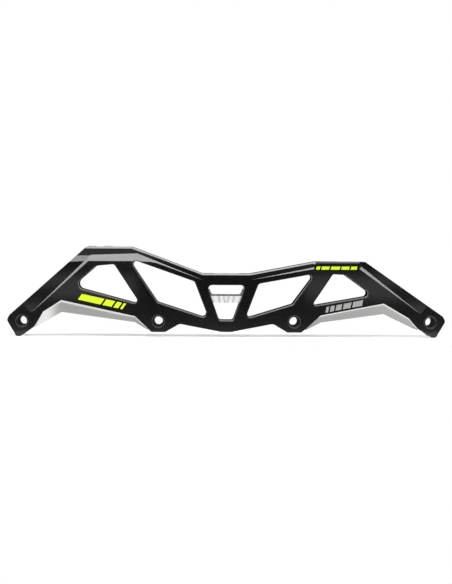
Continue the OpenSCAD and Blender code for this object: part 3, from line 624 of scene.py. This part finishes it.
def white_table(name, base, top_up, half_long, half_wide):
    """A matt white laminate. To the camera and in mirror faces it has a little light of its own, so that it
    is white where nothing shades it, and away from the frame, past an oval, it is plain white."""
    material, tree, place = new_material(name)
    path = add(tree, "ShaderNodeLightPath")
    oval = add(tree, "ShaderNodeVectorMath", {"operation": "MULTIPLY"},
               {1: (1 / half_long, 1 / half_wide, 0)}, {0: place})
    off = add(tree, "ShaderNodeVectorMath", {"operation": "LENGTH"}, links={0: oval.outputs["Vector"]})
    away = add(tree, "ShaderNodeMapRange", {"interpolation_type": "SMOOTHSTEP"},
               {"From Min": 0.6, "From Max": 1.0}, {"Value": off.outputs["Value"]})
    matt = add(tree, "ShaderNodeBsdfDiffuse", values={"Color": linear(base)})
    glow = add(tree, "ShaderNodeEmission", values={"Strength": top_up})
    lit = add(tree, "ShaderNodeAddShader", links={0: matt.outputs["BSDF"], 1: glow.outputs["Emission"]})
    white = add(tree, "ShaderNodeEmission", values={"Strength": 1.0})
    faded = add(tree, "ShaderNodeMixShader",
                links={0: away.outputs["Result"], 1: lit.outputs["Shader"], 2: white.outputs["Emission"]})
    seen = add(tree, "ShaderNodeMath", {"operation": "MAXIMUM"},
               links={0: path.outputs["Is Camera Ray"], 1: path.outputs["Is Glossy Ray"]})
    shown = add(tree, "ShaderNodeMixShader",
                links={0: seen.outputs["Value"], 1: matt.outputs["BSDF"], 2: faded.outputs["Shader"]})
    add(tree, "ShaderNodeOutputMaterial", links={"Surface": shown.outputs["Shader"]})
    return material


TABLE_FRONT = -0.14
TABLE_BACK = 0.5
TABLE_HALF = 0.8
corners = [(-TABLE_HALF, TABLE_FRONT, 0), (TABLE_HALF, TABLE_FRONT, 0),
           (TABLE_HALF, TABLE_BACK, 0), (-TABLE_HALF, TABLE_BACK, 0)]
table_mesh = bpy.data.meshes.new("table")
table_mesh.from_pydata(corners, [], [(0, 1, 2, 3)])
table = new_object("table", table_mesh)
coat(table, white_table("matt white laminate", "#e6e6e6", top_up=0.15, half_long=0.4, half_wide=0.2))


def soft_box(name, place, target, width, depth, radiance):
    """A lamp with a flat face, turned to a target. Its power is the radiance times pi times its area."""
    data = bpy.data.lights.new(name, "AREA")
    data.shape = "RECTANGLE"
    data.size = width
    data.size_y = depth
    data.energy = radiance * math.pi * width * depth
    lamp = new_object(name, data)
    lamp.location = place
    lamp.rotation_euler = (Vector(target) - Vector(place)).to_track_quat("-Z", "Y").to_euler()
    lamp.visible_camera = False


MIDDLE = (0, 0, 0)
STRIP_AWAY = -2.3
LOW_STRIP = -0.004
HIGH_STRIP = 0.058
STRIP_RADIANCE = 1.3
soft_box("overhead box", place=(0, -0.45, 1.5), target=(0, -0.45, 0), width=3.0, depth=1.45, radiance=3.0)
soft_box("front box", place=(0, -1.62, 1.3), target=MIDDLE, width=1.4, depth=0.6, radiance=3.6)
for name, x in (("left fill", -1.5), ("right fill", 1.5)):
    soft_box(name, place=(x, -1.6, 1.0), target=MIDDLE, width=1.0, depth=1.2, radiance=3.0)
for name, x, height, width, depth in (("left strip", -0.38, LOW_STRIP, 0.5, 0.04),
                                      ("right strip", 0.42, LOW_STRIP, 0.5, 0.04),
                                      ("high strip", 0, HIGH_STRIP, 2.0, 0.02)):
    soft_box(name, place=(x, STRIP_AWAY, height), target=(x, 0, height), width=width, depth=depth,
             radiance=STRIP_RADIANCE)

WHITE = (1, 1, 1, 1)
world = bpy.data.worlds.new("studio room")
bpy.context.scene.world = world
world.use_nodes = True
room = world.node_tree
room.nodes.clear()
path = add(room, "ShaderNodeLightPath")
way = add(room, "ShaderNodeTexCoord").outputs["Generated"]
parts = add(room, "ShaderNodeSeparateXYZ", links={"Vector": way})
behind = add(room, "ShaderNodeMapRange", {"interpolation_type": "SMOOTHSTEP"},
             {"From Min": -0.5, "From Max": 0.6, "To Min": 0.05, "To Max": 0.7},
             {"Value": parts.outputs["Y"]})
mirrored = add(room, "ShaderNodeBackground", values={"Color": WHITE},
               links={"Strength": behind.outputs["Result"]})
ambient = add(room, "ShaderNodeBackground", values={"Color": WHITE, "Strength": 0.25})
white = add(room, "ShaderNodeBackground", values={"Color": WHITE, "Strength": 1.0})
seen = add(room, "ShaderNodeMath", {"operation": "MAXIMUM"},
           links={0: path.outputs["Is Camera Ray"], 1: path.outputs["Is Transmission Ray"]})
inside = add(room, "ShaderNodeMixShader",
             links={0: path.outputs["Is Glossy Ray"], 1: ambient.outputs["Background"],
                    2: mirrored.outputs["Background"]})
shown = add(room, "ShaderNodeMixShader",
            links={0: seen.outputs["Value"], 1: inside.outputs["Shader"], 2: white.outputs["Background"]})
add(room, "ShaderNodeOutputWorld", links={"Surface": shown.outputs["Shader"]})


# Camera
# Two metres off the near wall, a little above the axles and left of the middle, tilted by about a quarter
# of a degree as in the photograph. The picture is 479.2 mm high at the near wall.

CAMERA_PLACE = Vector((-0.0264, -2.018, 0.0795))
CAMERA_TARGET = Vector((-0.0004, -0.018, 0.0369))
VIEW_HEIGHT = 0.4792
ROLL = math.radians(0.27)
camera_data = bpy.data.cameras.new("camera")
camera = new_object("camera", camera_data)
sight = CAMERA_TARGET - CAMERA_PLACE
camera_data.sensor_fit = "AUTO"
camera_data.angle = 2 * math.atan(VIEW_HEIGHT / 2 / sight.length)
aim = sight.to_track_quat("-Z", "Y").to_matrix().to_4x4()
camera.matrix_world = Matrix.Translation(CAMERA_PLACE) @ aim @ Matrix.Rotation(ROLL, 4, "Z")
bpy.context.scene.camera = camera
bpy.context.scene.view_settings.view_transform = "Standard"
